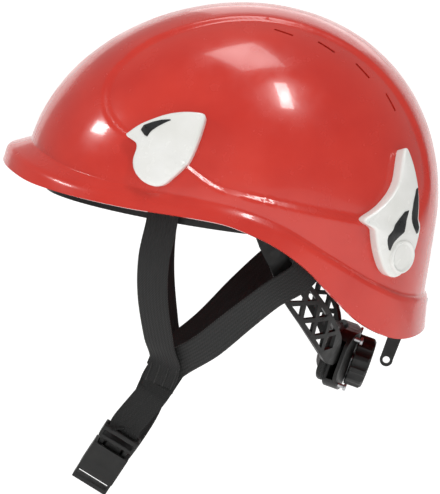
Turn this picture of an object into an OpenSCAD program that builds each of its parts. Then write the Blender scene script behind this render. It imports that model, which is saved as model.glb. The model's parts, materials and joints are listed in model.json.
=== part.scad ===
// Climbing and tree-work helmet, worn attitude, millimetres.
// -Y is the front, +X is the wearer's left, +Z is up. The origin is the centre of the
// headband ring in the plane of its lower edge.

/* [Shell] */
// Half length of the dome at its widest level
half_length = 130.5; // [110:0.5:150]
// Half width of the dome at its widest level
half_width = 102; // [88:0.5:118]
// Height of the crown above the headband's lower edge
crown_height = 136; // [120:0.5:165]
// Wall thickness of the shell
shell_wall = 2.8; // [2:0.1:4]
// How far the dome's side panels are set back from the crown band
panel_depth = 2.2; // [0:0.1:2.4]
// Half width of the raised crown band over the top
band_half_width = 33; // [22:1:42]
// How far the short peak stands out at the front
peak_reach = 14; // [6:0.5:30]

/* [Vents] */
// Vents on each side
vent_count = 4; // [1:1:4]
// Length of a vent slot
vent_length = 12.5; // [8:0.5:15]
// Width of a vent slot
vent_width = 1.8; // [1.2:0.1:3]
// Depth of the shallow pocket round each slot
vent_pocket_depth = 1.4; // [0.5:0.1:2]

/* [Lamp clips] */
// How far a clip stands out from the shell
clip_height = 7.5; // [5:0.5:12]
// Diameter of the studs that hold the clips in the shell
clip_stud_d = 6; // [4:0.5:8]
// Diameter of the round button at the foot of a rear clip
button_d = 21; // [14:0.5:24]

/* [Headband] */
// Half width of the headband, outside
band_half_x = 75.5; // [70:0.5:76]
// Half length of the headband, outside
band_half_y = 100; // [88:0.5:104]
// Height of the headband strip
band_height = 30; // [20:1:40]
// Thickness of the headband strip
band_wall = 1.8; // [1.2:0.1:3]
// Thickness of the sweatband
sweat_thickness = 5; // [3:0.5:8]
// Width of the crossing cradle straps
cradle_width = 18; // [10:1:25]
// Thickness of the cradle straps
cradle_thickness = 1.2; // [0.8:0.1:2]

/* [Nape adjuster] */
// Width of the open-work nape arms
arm_width = 20; // [16:0.5:24]
// Thickness of the nape arms
arm_wall = 2.4; // [1.8:0.1:3]
// Radius of the nape arms' curve, outside
arm_radius = 78; // [76:0.5:82]
// Diameter of the adjuster knob
knob_d = 33; // [26:0.5:40]
// Length of the adjuster knob along its axis
knob_length = 11; // [8:0.5:16]
// Diameter of the knob's shaft
shaft_d = 7; // [5:0.5:10]
// Diameter of the pivot pins of the nape arms
pivot_d = 6; // [4:0.5:8]

/* [Straps and buckle] */
// Width of the webbing
web_width = 20; // [15:1:25]
// Thickness of the webbing
web_thickness = 1.3; // [1:0.1:2]
// Width of the buckle body
buckle_width = 25; // [24:0.5:30]
// Depth of the buckle body
buckle_depth = 10; // [9:0.5:14]
// Diameter of the hole in the rear tether lug
tether_hole_d = 4.6; // [3:0.1:6]
// Running clearance of pins and shafts, on the radius
run_gap = 0.08; // [0.05:0.01:0.1]
// Clearance between parts that move past each other
move_gap = 0.5; // [0.3:0.1:1]

/* [Hidden] */

red = "#CC3A2B";
white = "#E8E8E2";
black = "#1C1C1B";
steel = "#A8A9AB";

equator = 15.5;
dome_y = 12.5;
dome_shift = 11.5;
rise = crown_height - equator;
round_fn = 64;

// ---- Curves and frames ----

function smooth(t) = let (u = min(1, max(0, t))) u * u * (3 - 2 * u);
function unit(v) = v / norm(v);
function side(v, s) = [s * v[0], v[1], v[2]];
function slope(p, i) = i <= 0 || i >= len(p) - 1 ? 0
    : (p[i + 1][1] - p[i - 1][1]) / (p[i + 1][0] - p[i - 1][0]);
// Smooth curve through [angle, value] pairs, for angles from 0 at the front to 180 at the rear
function curve(p, a) = let (
        i = max([for (k = [0 : len(p) - 2]) if (a >= p[k][0]) k]),
        w = p[i + 1][0] - p[i][0],
        t = (a - p[i][0]) / w
    ) (2 * t ^ 3 - 3 * t ^ 2 + 1) * p[i][1] + (t ^ 3 - 2 * t ^ 2 + t) * w * slope(p, i)
    + (3 * t ^ 2 - 2 * t ^ 3) * p[i + 1][1] + (t ^ 3 - t ^ 2) * w * slope(p, i + 1);

// Closed loft through rings of points, each ring wound the same way. A ring has an even
// number of points, and each end is closed with strips between its first half and its second
module loft(rings) {
    n = len(rings[0]);
    m = len(rings);
    cap = [for (j = [0 : n / 2 - 2]) for (half = [0, 1])
        half == 0 ? [j, j + 1, n - 2 - j] : [j, n - 2 - j, n - 1 - j]];
    polyhedron(
        points = [for (r = rings) for (p = r) p],
        faces = concat(
            cap,
            [for (i = [0 : m - 2]) for (j = [0 : n - 1]) for (half = [0, 1]) half == 0
                ? [i * n + j, (i + 1) * n + j, (i + 1) * n + (j + 1) % n]
                : [i * n + j, (i + 1) * n + (j + 1) % n, i * n + (j + 1) % n]],
            [for (c = cap) [for (k = [2, 1, 0]) (m - 1) * n + c[k]]]));
}

// Places its children with local X along x, local Z along z and local Y square to both
module aim(at, x, z) {
    ez = unit(z);
    ex = unit(x - (x * ez) * ez);
    ey = cross(ez, ex);
    multmatrix([[ex[0], ey[0], ez[0], at[0]], [ex[1], ey[1], ez[1], at[1]], [ex[2], ey[2], ez[2], at[2]]])
        children();
}

module on_side(s) {
    if (s > 0) children();
    else mirror([1, 0, 0]) children();
}

// Centripetal smooth run through the points of a strap's route
function bend(p, i, t) = let (
        a = p[max(i - 1, 0)], b = p[i], c = p[i + 1], d = p[min(i + 2, len(p) - 1)]
    ) 0.5 * (2 * b + (c - a) * t + (2 * a - 5 * b + 4 * c - d) * t ^ 2 + (3 * b - a - 3 * c + d) * t ^ 3);
function run(p, n) = [for (i = [0 : len(p) - 2]) for (k = [0 : n - 1]) bend(p, i, k / n), p[len(p) - 1]];

// Flat webbing along a route; across gives the width direction at the two ends
module webbing(route, across_a, across_b, width, thickness, steps = 4) {
    p = run(route, steps);
    m = len(p) - 1;
    loft([for (i = [0 : m]) let (
            dir = unit(p[min(i + 1, m)] - p[max(i - 1, 0)]),
            raw = across_a + (across_b - across_a) * smooth(i / m),
            w = unit(raw - (raw * dir) * dir) * width / 2,
            n = cross(dir, unit(w)) * thickness / 2
        ) [p[i] - w - n, p[i] + w - n, p[i] + w + n, p[i] - w + n]]);
}

// ---- Shell ----

// Level of the rim, level of the crease above the brim and reach of the brim, round the shell
rim_level = [[0, 14], [15, 12], [30, 9], [60, 8], [88, 8.5], [99, 3], [106, -3], [114, -13],
    [123, -28], [133, -42], [145, -50.5], [155, -52.5], [180, -50]];
crease_level = [[0, 30], [20, 27], [40, 22.5], [60, 20.5], [90, 19], [105, 12], [120, -2],
    [135, -15], [150, -23.5], [165, -27], [180, -28]];
brim_reach = [[0, peak_reach], [20, peak_reach * 0.85], [40, 7.5], [65, 4], [90, 3], [130, 2.2], [180, 2.2]];
brim_drop = [[0, 6.4], [60, 6], [90, 5], [120, 2.5], [180, 2]];
azimuth_steps = 60;
dome_rows = 15;

// Point of the dome for a unit direction s: s[2] below zero means the straight skirt
function dome(s) = [half_width * (1.14 * s[0] - 0.14 * s[0] ^ 3),
    dome_y + half_length * s[1] + dome_shift * max(0, s[2]) ^ 2, equator + rise * s[2]];
function outward(s) = unit([s[0] / half_width, s[1] / half_length, max(0, s[2]) / rise]);
function belt_level(y) = 28.5 - 0.085 * (y - 10) + 16 * smooth((10 - y) / 50);
// Distance inside the set-back side panel, negative on the band, the belt and the front
function inside_panel(p) = let (
        r = 38,
        d = [abs(p[0]) - band_half_width - 10 * smooth((20 - p[1]) / 90),
            p[2] - belt_level(p[1]), p[1] + 84],
        out = [for (v = d) max(0, r - v)]
    ) max(d[0], d[1], d[2]) > r * 4 ? r : r - norm(out);
function skin(s) = dome(s) - outward(s) * panel_depth * smooth(inside_panel(dome(s)) / 5 + 0.5);
function facing(a, z) = let (h = (z - equator) / rise, r = h > 0 ? sqrt(max(0, 1 - h * h)) : 1)
    [r * sin(a), -r * cos(a), h];
// Unit direction of the left side's surface at a given y and z
function dome_at(y, z) = let (h = (z - equator) / rise,
        f = (y - dome_y - dome_shift * max(0, h) ^ 2) / half_length)
    [sqrt(max(0, 1 - f * f - max(0, h) ^ 2)), f, h];
function row_direction(a, i) = let (
        h0 = (curve(crease_level, abs(a)) - equator) / rise,
        lat0 = h0 > 0 ? asin(h0) : h0 * 57.3,
        lat = 90 + (lat0 - 90) * i / dome_rows
    ) facing(a, equator + rise * (lat > 0 ? sin(lat) : lat / 57.3));
function level_out(a) = unit([sin(a) / half_width, -cos(a) / half_length, 0]);
function meridian(a) = let (
        b = abs(a),
        h = level_out(a),
        foot = skin(row_direction(a, dome_rows)),
        shoulder = foot + h * curve(brim_reach, b) - [0, 0, curve(brim_drop, b)],
        rim = [shoulder[0], shoulder[1], curve(rim_level, b)] + h * 1.5,
        outer = [for (i = [1 : dome_rows]) skin(row_direction(a, i))],
        inner = [for (i = [dome_rows - 1 : -1 : 1])
            skin(row_direction(a, i)) - outward(row_direction(a, i)) * shell_wall]
    ) concat(outer, [shoulder, rim, rim - h * shell_wall, shoulder - h * (shell_wall + 0.4) - [0, 0, 0.8],
        foot - h * shell_wall - [0, 0, 1]], inner);

// The right side's facets mirror the left side's, as the clips need
module shell_body() {
    n = azimuth_steps;
    lines = [for (k = [0 : n - 1]) meridian(k * 360 / n > 180 ? k * 360 / n - 360 : k * 360 / n)];
    m = len(lines[0]);
    top = skin([0, 0, 1]);
    polyhedron(
        points = concat([top, top - [0, 0, shell_wall]], [for (l = lines) for (p = l) p]),
        faces = concat(
            [for (k = [0 : n - 1]) [0, 2 + ((k + 1) % n) * m, 2 + k * m]],
            [for (k = [0 : n - 1]) for (i = [0 : m - 2]) for (half = [0, 1])
                let (a = 2 + k * m + i, b = 2 + ((k + 1) % n) * m + i)
                k < n / 2 ? (half == 0 ? [a, b, b + 1] : [a, b + 1, a + 1])
                : (half == 0 ? [a, b, a + 1] : [b, b + 1, a + 1])],
            [for (k = [0 : n - 1]) [1, 2 + k * m + m - 1, 2 + ((k + 1) % n) * m + m - 1]]));
}

vent_side = 0.385;
vent_first = 3.5;
vent_step = 14;
function vent_direction(k) = let (r = sqrt(1 - vent_side ^ 2), t = vent_first + vent_step * k)
    [vent_side, r * sin(t), r * cos(t)];
module vent_cut(k) {
    s = vent_direction(k);
    aim(skin(s), [0.25, cos(vent_first + vent_step * k), -sin(vent_first + vent_step * k)], outward(s)) {
        cube([vent_length, vent_width, 4 * shell_wall + 4], center = true);
        translate([-vent_length / 2 - 1.5, -vent_width / 2 - 8, -vent_pocket_depth])
            rotate([-4, 0, 0]) cube([vent_length + 3, 12, 8]);
    }
}

// Clip seats, as y and z on the left side. The rear clip keeps its distance from the rear end
rear_clip_inset = 11;
front_clip_at = dome_at(-30, 49);
rear_clip_at = dome_at(half_length - rear_clip_inset, 3);
// Stretch of the shell under each clip: first and last azimuth, lowest and highest level
front_reach = [48, 92, 18, 78];
rear_reach = [108, 164, -20, 70];
stud_gap = 0.05;
front_studs = [[-6, -10], [6, 10]];
rear_studs = [[-8, 24], [0, 44]];
hanger_azimuth = [52, 128];
socket_level = 34;

module clip_frame(s, up = [0, 0, 1]) {
    n = outward(s);
    aim(skin(s) + n * 0.3, cross(up, n), n) children();
}
module stud_holes(places) {
    for (p = places) translate([p[0], p[1], 0])
        cylinder(h = 40, d = clip_stud_d + 2 * stud_gap, center = true, $fn = round_fn);
}

// Socket block inside the shell that takes a cradle hanger from below
socket_width = 22;
socket_depth = 9;
socket_height = 16;
key_width = 14;
key_thickness = 3;
function socket_place(a) = let (s = facing(a, socket_level)) skin(s) - outward(s) * (shell_wall - 0.6);
module socket_frame(a) {
    h = level_out(a);
    aim(socket_place(a), cross([0, 0, 1], h), [0, 0, 1]) children();
}
// Stepped at mid height, so that its back stays in the wall where the dome leans in
module socket_block(a) {
    half = socket_height / 2;
    for (step = [[-half, -0.9], [0, 1.3]])
        socket_frame(a) translate([-socket_width / 2, step[1], step[0]])
            cube([socket_width, socket_depth - step[1], half]);
}
module socket_slot(a) {
    socket_frame(a) translate([-key_width / 2 - 0.2, 3, -socket_height / 2 - 1])
        cube([key_width + 0.4, key_thickness + 0.4, socket_height - 2]);
}

// Strap anchors inside the shell, as azimuth and level
anchor_place = [[71, 28], [117, 10]];
anchor_pin_d = 5;
boss_depth = 4.5;
function anchor_direction(k) = facing(anchor_place[k][0], anchor_place[k][1]);
module anchor_frame(k) {
    s = anchor_direction(k);
    h = level_out(anchor_place[k][0]);
    aim(skin(s), cross([0, 0, 1], h), h) children();
}

lug_level = -75;
lug_screw_level = -36;
lug_screw_d = 4;
function rear_wall_y() = skin(facing(180, -20))[1];
// The tether eye lies this far ahead of the shell's inner face
lug_reach = 12;
lug_y = rear_wall_y() - shell_wall - lug_reach;

module shell() {
    color(red) difference() {
        union() {
            shell_body();
            for (s = [1, -1]) on_side(s) {
                for (a = hanger_azimuth) socket_block(a);
                for (k = [0, 1]) anchor_frame(k) translate([0, 0, -boss_depth - shell_wall])
                    cylinder(h = boss_depth + 1, d = anchor_pin_d + 6, $fn = round_fn);
            }
        }
        for (s = [1, -1]) on_side(s) {
            for (k = [0 : vent_count - 1]) vent_cut(k);
            for (a = hanger_azimuth) socket_slot(a);
            clip_frame(front_clip_at) stud_holes(front_studs);
            clip_frame(rear_clip_at) stud_holes(rear_studs);
            for (k = [0, 1]) anchor_frame(k) translate([0, 0, -boss_depth - shell_wall])
                cylinder(h = boss_depth + 1, d = anchor_pin_d + 2 * stud_gap, $fn = round_fn);
        }
        translate([0, rear_wall_y(), lug_screw_level]) rotate([90, 0, 0])
            cylinder(h = 30, d = lug_screw_d, center = true, $fn = round_fn);
    }
}

// ---- Lamp clips ----

front_outline = [[-25.3, 3.4], [-19, 9.8], [-12.1, 14.1], [-6, 17.7], [0.5, 20.5], [8, 22.5], [15.4, 23.4],
    [18.4, 22.9], [19.2, 20.6], [18.4, 8], [15.8, -6.1], [12.6, -12], [8.2, -17.6], [3.7, -23.2], [-0.5, -25],
    [-4.7, -24.9], [-9, -23.8], [-12.6, -21.6], [-15.8, -18.4], [-17.6, -14.5], [-18, -10.5], [-17, -5.6],
    [-17.6, -2.4], [-20.6, -0.8], [-24.6, 0.6], [-26, 2]];
front_wedge = [[-18.5, 7.6], [-12.4, 2], [-11.2, 5.6], [-8.4, 8.9], [-4, 12.6], [1, 16], [-8.3, 13.6]];
rear_outline = [[-2.3, 60.6], [-5.2, 52.7], [-7.5, 43.7], [-10.4, 38.4], [-13.7, 34.1], [-21.2, 26.3],
    [-31.8, 19.2], [-32.1, 17.2], [-24.7, 14], [-24, 10.6], [-23.1, 7.3], [-20.5, 0],
    [-16.5, -7.6], [-13.6, -11.4], [-9.6, -14.6], [-5, -15.7], [-0.5, -14.4], [3.5, -11],
    [7, -6.1], [10.3, 2.5], [11.7, 12], [11.7, 22], [10.4, 35.7], [6.6, 50], [2.1, 61.1],
    [0, 62]];
rear_wedge_front = [[1.2, 29.6], [-15.7, 11.9], [-16, 7], [-13.1, 0.6], [-11.8, 5], [-10.1, 8.4], [-2.1, 15]];
rear_wedge_back = [[7.3, 42], [3.1, 27], [4.5, 15.7], [8.4, 11.6], [9.4, 18], [9, 30]];
inlay_depth = 1.2;
button_rise = 1;

// Layer over a stretch of the shell, from one height above it to another
function on_shell(a, z, out) = let (s = facing(a, z)) skin(s) + outward(s) * out;
module shell_layer(reach, low, high) {
    levels = [for (z = [reach[2] : 6 : reach[3]]) z];
    loft([for (a = [reach[0] : 4 : reach[1]]) concat(
        [for (z = levels) on_shell(a, z, low)],
        [for (i = [len(levels) - 1 : -1 : 0]) on_shell(a, levels[i], high)])]);
}
module clip_layer(at, reach, low, high) {
    intersection() {
        shell_layer(reach, low, high);
        clip_frame(at) translate([0, 0, -25]) linear_extrude(60) children();
    }
}
// Height of the shell above a clip seat, at a place in the clip's own frame
function seat_height(at, p) = let (
        n = outward(at), ex = unit(cross([0, 0, 1], n)),
        q = skin(at) + ex * p[0] + cross(n, ex) * p[1]
    ) (skin(dome_at(q[1], q[2])) - skin(at)) * n;
module clip_studs(at, studs) {
    clip_frame(at) for (p = studs) translate([p[0], p[1], seat_height(at, p) - shell_wall - 2.3])
        cylinder(h = shell_wall + 6, d = clip_stud_d, $fn = round_fn);
}
// The moulding follows the shell underneath; its studs go through the shell's holes
module front_clip(s) {
    color(white) on_side(s) {
        difference() {
            clip_layer(front_clip_at, front_reach, -1, clip_height) polygon(front_outline);
            clip_layer(front_clip_at, front_reach, clip_height - inlay_depth, clip_height + 5)
                polygon(front_wedge);
            shell_body();
        }
        clip_studs(front_clip_at, front_studs);
    }
}
module front_clip_inlay(s) {
    color(black) on_side(s)
        clip_layer(front_clip_at, front_reach, clip_height - inlay_depth, clip_height + 0.2)
            polygon(front_wedge);
}
button_at = [-2.6, -2];
module button_bore(base) {
    clip_frame(rear_clip_at) translate([button_at[0], button_at[1], base])
        cylinder(h = 20, d = button_d, $fn = round_fn);
}
module rear_clip(s) {
    color(white) on_side(s) {
        difference() {
            clip_layer(rear_clip_at, rear_reach, -1, clip_height) polygon(rear_outline);
            for (wedge = [rear_wedge_front, rear_wedge_back])
                clip_layer(rear_clip_at, rear_reach, clip_height - inlay_depth, clip_height + 5)
                    polygon(wedge);
            button_bore(clip_height - inlay_depth - 0.8);
            shell_body();
        }
        clip_studs(rear_clip_at, rear_studs);
    }
}
module rear_inlay(s, outline) {
    color(black) on_side(s) difference() {
        clip_layer(rear_clip_at, rear_reach, clip_height - inlay_depth, clip_height + 0.2)
            polygon(outline);
        button_bore(0);
    }
}
module rear_button(s) {
    base = clip_height - inlay_depth - 0.8;
    color(white) on_side(s) clip_frame(rear_clip_at) translate([button_at[0], button_at[1], base])
        difference() {
            cylinder(h = inlay_depth + 0.8 + button_rise, d = button_d, $fn = round_fn);
            translate([0, 0, inlay_depth + 0.4 + button_rise]) cylinder(h = 2, d = button_d - 4, $fn = round_fn);
        }
}

// ---- Headband and cradle ----

band_y = -3;
band_end = 122;
function band_point(a, r) = [(band_half_x - r) * sin(a), band_y - (band_half_y - r) * cos(a)];
function band_out(a) = unit([sin(a) / band_half_x, -cos(a) / band_half_y, 0]);
// Way inward from a shell socket to the headband's outside, and the azimuth where it gets there
function band_reach(a) = let (
        p = socket_place(a), h = level_out(a),
        u = [p[0] / band_half_x, (p[1] - band_y) / band_half_y],
        v = [h[0] / band_half_x, h[1] / band_half_y]
    ) (u * v - sqrt((u * v) ^ 2 - (v * v) * (u * u - 1))) / (v * v);
function band_azimuth(a) = let (q = socket_place(a) - level_out(a) * band_reach(a))
    atan2(q[0] / band_half_x, -(q[1] - band_y) / band_half_y);
function arc(from, to, steps) = [for (k = [0 : steps]) from + (to - from) * k / steps];
module band_outline(from, to, outer, inner, steps = 48) {
    polygon(concat([for (a = arc(from, to, steps)) band_point(a, outer)],
        [for (a = arc(to, from, steps)) band_point(a, inner)]));
}
band_pin_d = 6;
band_pin_level = 15;
pivot_level = 8;
module band_hole(a, level, d) {
    p = band_point(a, 0);
    aim([p[0], p[1], level], [0, 0, 1], band_out(a)) cylinder(h = 30, d = d, center = true, $fn = round_fn);
}
pivot_y = 38;
function band_x_at(y) = band_half_x * sqrt(1 - ((y - band_y) / band_half_y) ^ 2);
module pivot_bore(d) {
    translate([0, pivot_y, pivot_level]) rotate([0, 90, 0])
        cylinder(h = band_half_x + 20, d = d, $fn = round_fn);
}
module headband() {
    color(black) difference() {
        linear_extrude(band_height) band_outline(-band_end, band_end, 0, band_wall);
        for (s = [1, -1]) on_side(s) {
            band_hole(band_azimuth(hanger_azimuth[0]), band_pin_level, band_pin_d + 0.1);
            pivot_bore(pivot_d + 2 * run_gap);
        }
    }
}
module sweatband() {
    color("#262625") translate([0, 0, 1.5]) linear_extrude(band_height - 3)
        band_outline(-46, 46, band_wall + 0.1, band_wall + sweat_thickness, 30);
}

// Cradle hanger: a key that plugs into the shell socket, an arm and a stud or a strap eye
hanger_drop = 10;
module hanger_plate(a, reach) {
    socket_frame(a) {
        translate([-key_width / 2, 3.2, -socket_height / 2 - hanger_drop])
            cube([key_width, key_thickness, socket_height + hanger_drop - 4]);
        translate([-key_width / 2, 3.2, -socket_height / 2 - hanger_drop])
            cube([key_width, reach, key_thickness]);
    }
}
module hanger_front(s) {
    a = hanger_azimuth[0];
    b = band_azimuth(a);
    q = band_point(b, 0);
    color(black) on_side(s) {
        hanger_plate(a, band_reach(a) - 5.5);
        aim([q[0], q[1], band_pin_level] + band_out(b) * 0.4, [0, 0, 1], band_out(b)) {
            translate([-3, -key_width / 2, 0]) cube([7, key_width, 4.5]);
            translate([0, 0, -band_wall - 1]) cylinder(h = band_wall + 2, d = band_pin_d, $fn = round_fn);
        }
    }
}
module hanger_rear(s) {
    color(black) on_side(s) hanger_plate(hanger_azimuth[1], 16);
}

// Cradle straps cross over the head; the second passes over the first
cradle_top = 98;
function cradle_end(a) = let (p = socket_place(a), h = level_out(a))
    [p[0], p[1], 0] - h * 10.6 + [0, 0, socket_level - socket_height / 2 - hanger_drop + key_thickness + 0.4];
function cradle_route(lift) = let (
        a = cradle_end(hanger_azimuth[0]),
        b = cradle_end(hanger_azimuth[1]),
        c = [-b[0], b[1], b[2]],
        top = [0, (a[1] + b[1]) / 2, cradle_top + lift]
    ) [a, [a[0] * 0.96, a[1] * 0.96, a[2] + 13], [a[0] * 0.84, a[1] * 0.86, a[2] + 40], [a[0] * 0.52, top[1] * 0.35 + a[1] * 0.58, cradle_top - 13 + lift], top,
        [c[0] * 0.52, top[1] * 0.35 + c[1] * 0.58, cradle_top - 13 + lift], [c[0] * 0.84, c[1] * 0.86, c[2] + 40], [c[0] * 0.96, c[1] * 0.96, c[2] + 13], c];
module cradle_strap(s, lift) {
    r = cradle_route(lift);
    across = cross(r[8] - r[0], [0, 0, 1]);
    color("#2B2B2A") on_side(s) webbing(r, across, across, cradle_width, cradle_thickness, 5);
}
pad_bow = 62;
module crown_pad() {
    p = cradle_route(0)[4];
    color("#303030") translate([0, p[1], cradle_top - cradle_thickness / 2 - 1 - pad_bow]) intersection() {
        difference() {
            sphere(r = pad_bow, $fn = 128);
            sphere(r = pad_bow - 5, $fn = 128);
        }
        cylinder(h = pad_bow + 1, r = 27, $fn = round_fn);
    }
}

// ---- Nape arms and adjuster ----

// The adjuster is drawn upright round the axis x = 0, y = pivot_y, then leaned back about the pivots
nape_lean = 11;
module nape_frame() {
    translate([0, pivot_y, pivot_level]) rotate([-nape_lean, 0, 0]) children();
}
function on_arm(a, r) = [(arm_radius + r) * sin(a), (arm_radius + r) * cos(a)];
rack_height = 6.5;
rack_offset = 8.2;
adjuster_level = -71.4;
// Level of the arm's centre line and its width, against the angle from the rear
function arm_level(s) = [[-12, adjuster_level + s * rack_offset], [18, adjuster_level + s * rack_offset],
    [25, adjuster_level + s * 3], [34, -61.7], [52, -46], [69.5, -30.4], [82.7, -14.4], [90, -1], [99, 14]];
arm_width_at = [[-12, rack_height], [18, rack_height], [25, 12], [32, arm_width], [66, arm_width],
    [79, 13], [89, 17], [99, 16]];
function arm_slope(s, a) = (curve(arm_level(s), a + 1) - curve(arm_level(s), max(-12, a - 1)))
    / (2 * arm_radius * PI / 180);
// Section of the arm square to its own run, so that its width stays true where it climbs
function arm_section(s, a) = let (
        z = curve(arm_level(s), a), w = curve(arm_width_at, a) / 2, lean = atan(arm_slope(s, a)),
        da = w * sin(lean) / arm_radius * 180 / PI, dz = w * cos(lean),
        o1 = on_arm(a - da, 0), i1 = on_arm(a - da, -arm_wall),
        o2 = on_arm(a + da, 0), i2 = on_arm(a + da, -arm_wall)
    ) [[o1[0], o1[1], z + dz], [i1[0], i1[1], z + dz], [i2[0], i2[1], z - dz], [o2[0], o2[1], z - dz]];
arm_first = -9;
arm_last = 98;
lattice_first = 36;
lattice_step = 9.6;
lattice_count = 4;
slot_travel = 8.4;
module arm_cut(s, a) {
    p = on_arm(a, 0);
    aim([p[0], p[1], curve(arm_level(s), a)], [cos(a), -sin(a), arm_slope(s, a)], [sin(a), cos(a), 0])
        linear_extrude(20, center = true) children();
}
module nape_arm(s) {
    half = arm_width / 2 - 2.6;
    wide = lattice_step * arm_radius * PI / 180 * 0.62;
    color(black) on_side(s) nape_frame() difference() {
        loft([for (a = arc(arm_first, arm_last, 34)) arm_section(s, a)]);
        for (k = [0 : lattice_count - 1]) let (a = lattice_first + lattice_step * k) {
            arm_cut(s, a) polygon([[-wide * 0.72, 0], [0, -half * 0.9], [wide * 0.72, 0], [0, half * 0.9]]);
            if (k < lattice_count - 1) arm_cut(s, a + lattice_step / 2) {
                polygon([[-wide * 0.55, half], [0, 2.2], [wide * 0.55, half]]);
                polygon([[-wide * 0.55, -half], [wide * 0.55, -half], [0, -2.2]]);
            }
        }
        // Slot for the pivot pin, which leaves room for the arm's travel
        rotate([0, 90, 0]) linear_extrude(200) {
            square([pivot_d + 2 * run_gap, slot_travel], center = true);
            for (y = [-1, 1]) translate([0, y * slot_travel / 2]) circle(d = pivot_d + 2 * run_gap, $fn = round_fn);
        }
    }
}
pin_head_d = 18;
module pivot_pin(s) {
    inner = band_x_at(pivot_y);
    // The head inside stands off far enough to clear the band where it slopes
    pin_start = band_wall + 6;
    color(black) on_side(s) translate([0, pivot_y, pivot_level]) rotate([0, 90, 0]) {
        translate([0, 0, inner - pin_start]) cylinder(h = arm_radius + 1 - inner + pin_start, d = pivot_d, $fn = round_fn);
        translate([0, 0, inner - pin_start]) cylinder(h = 1.6, d = pivot_d + 5, $fn = round_fn);
        translate([0, 0, arm_radius + 0.5]) cylinder(h = 2, d = pin_head_d, $fn = round_fn);
    }
}

housing_angle = 23;
housing_wall = 2.2;
housing_height = 38;
cavity_height = 26;
cavity_in = arm_radius - arm_wall - 0.8;
cavity_out = arm_radius + 1;
cover_out = cavity_out + housing_wall;
module sector(r0, r1, height, angle) {
    rotate([0, 0, 90 - angle]) rotate_extrude(angle = 2 * angle, $fn = 128)
        translate([r0, adjuster_level - height / 2]) square([r1 - r0, height]);
}
// Round-cornered prism along local Y, which gives the housing and the pad their round ends
module round_ends(width, height, r) {
    translate([0, 0, adjuster_level]) rotate([-90, 0, 0]) linear_extrude(arm_radius + 40) {
        square([width - 2 * r, height], center = true);
        square([width, height - 2 * r], center = true);
        for (x = [-1, 1]) for (z = [-1, 1])
            translate([x * (width / 2 - r), z * (height / 2 - r)]) circle(r = r, $fn = round_fn);
    }
}
screw_x = 22;
screw_z = 15.5;
screw_d = 2.6;
module cover_screw_places() {
    for (x = [-1, 1]) for (z = [-1, 1])
        translate([x * screw_x, arm_radius - 14, adjuster_level + z * screw_z]) rotate([-90, 0, 0]) children();
}
housing_width = 2 * (arm_radius + 3) * sin(housing_angle);
module nape_housing() {
    color(black) nape_frame() difference() {
        intersection() {
            sector(cavity_in - housing_wall, cavity_out - 0.05, housing_height + 6, housing_angle);
            round_ends(housing_width, housing_height, 13);
        }
        sector(cavity_in, cavity_out + 5, cavity_height, housing_angle + 5);
        cover_screw_places() cylinder(h = 40, d = screw_d + 0.1, $fn = round_fn);
    }
}
module nape_cover() {
    color(black) nape_frame() difference() {
        intersection() {
            sector(cavity_out, cover_out, housing_height + 6, housing_angle);
            round_ends(housing_width, housing_height, 13);
        }
        cover_screw_places() cylinder(h = 40, d = screw_d + 0.1, $fn = round_fn);
        translate([0, 0, adjuster_level]) rotate([-90, 0, 0])
            cylinder(h = 200, d = shaft_d + 2 * run_gap, $fn = round_fn);
    }
}
module cover_screws() {
    color(steel) nape_frame() cover_screw_places() {
        translate([0, 0, 8.6]) cylinder(h = 9.6, d = screw_d, $fn = round_fn);
        translate([0, 0, 17.6]) cylinder(h = 1.6, d = screw_d + 2.2, $fn = round_fn);
    }
}
pad_thickness = 7;
module nape_pad() {
    color("#303030") nape_frame() intersection() {
        sector(cavity_in - housing_wall - pad_thickness, cavity_in - housing_wall - 0.1, 40, housing_angle + 3);
        round_ends(66, 34, 12);
    }
}
pinion_teeth = 10;
pinion_r = 4.3;
module pinion() {
    color(steel) nape_frame() translate([0, 0, adjuster_level]) rotate([-90, 0, 0]) {
        translate([0, 0, cavity_in + 0.3]) linear_extrude(cavity_out - cavity_in - 0.6)
            polygon([for (k = [0 : pinion_teeth - 1]) for (q = [0, 0.3, 0.5, 0.8])
                let (a = (k + q) * 360 / pinion_teeth, r = q < 0.4 ? pinion_r : pinion_r - 1)
                [r * cos(a), r * sin(a)]]);
        difference() {
            translate([0, 0, cavity_out - 0.4]) cylinder(h = knob_length - 1, d = shaft_d, $fn = round_fn);
            translate([0, 0, cavity_out + 3]) cylinder(h = knob_length, d = 2.55, $fn = round_fn);
        }
    }
}
// Leaf spring that clicks against the pinion, held in the housing
module detent_spring() {
    color(steel) nape_frame() translate([0, 0, adjuster_level]) rotate([-90, 0, 0])
        translate([0, 0, cavity_in + 0.5]) linear_extrude(1.8)
            polygon([[-9, -3.4], [-8.4, -3.4], [-5.6, -0.6], [-4.7, 0], [-5.6, 0.6], [-8.4, 3.4], [-9, 3.4],
                [-6.2, 0.3], [-6.2, -0.3]]);
}
knob_start = cover_out + move_gap;
grip_count = 12;
module knob() {
    color("#232322") nape_frame() translate([0, 0, adjuster_level]) rotate([-90, 0, 0]) difference() {
        intersection() {
            translate([0, 0, knob_start]) linear_extrude(knob_length) difference() {
                circle(d = knob_d, $fn = 96);
                for (k = [0 : grip_count - 1]) rotate(k * 360 / grip_count)
                    translate([knob_d / 2 + 5, 0]) circle(r = 6, $fn = 48);
            }
            translate([0, 0, knob_start]) union() {
                cylinder(h = knob_length - 2, d = knob_d + 2, $fn = 96);
                translate([0, 0, knob_length - 2]) cylinder(h = 2, d1 = knob_d + 1, d2 = knob_d - 3, $fn = 96);
            }
        }
        translate([0, 0, knob_start - 1]) cylinder(h = knob_length - 2, d = shaft_d + 0.05, $fn = round_fn);
        cylinder(h = 200, d = 2.7, $fn = round_fn);
        translate([0, 0, knob_start + knob_length - 2.2]) cylinder(h = 5, d = 7, $fn = round_fn);
    }
}
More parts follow.
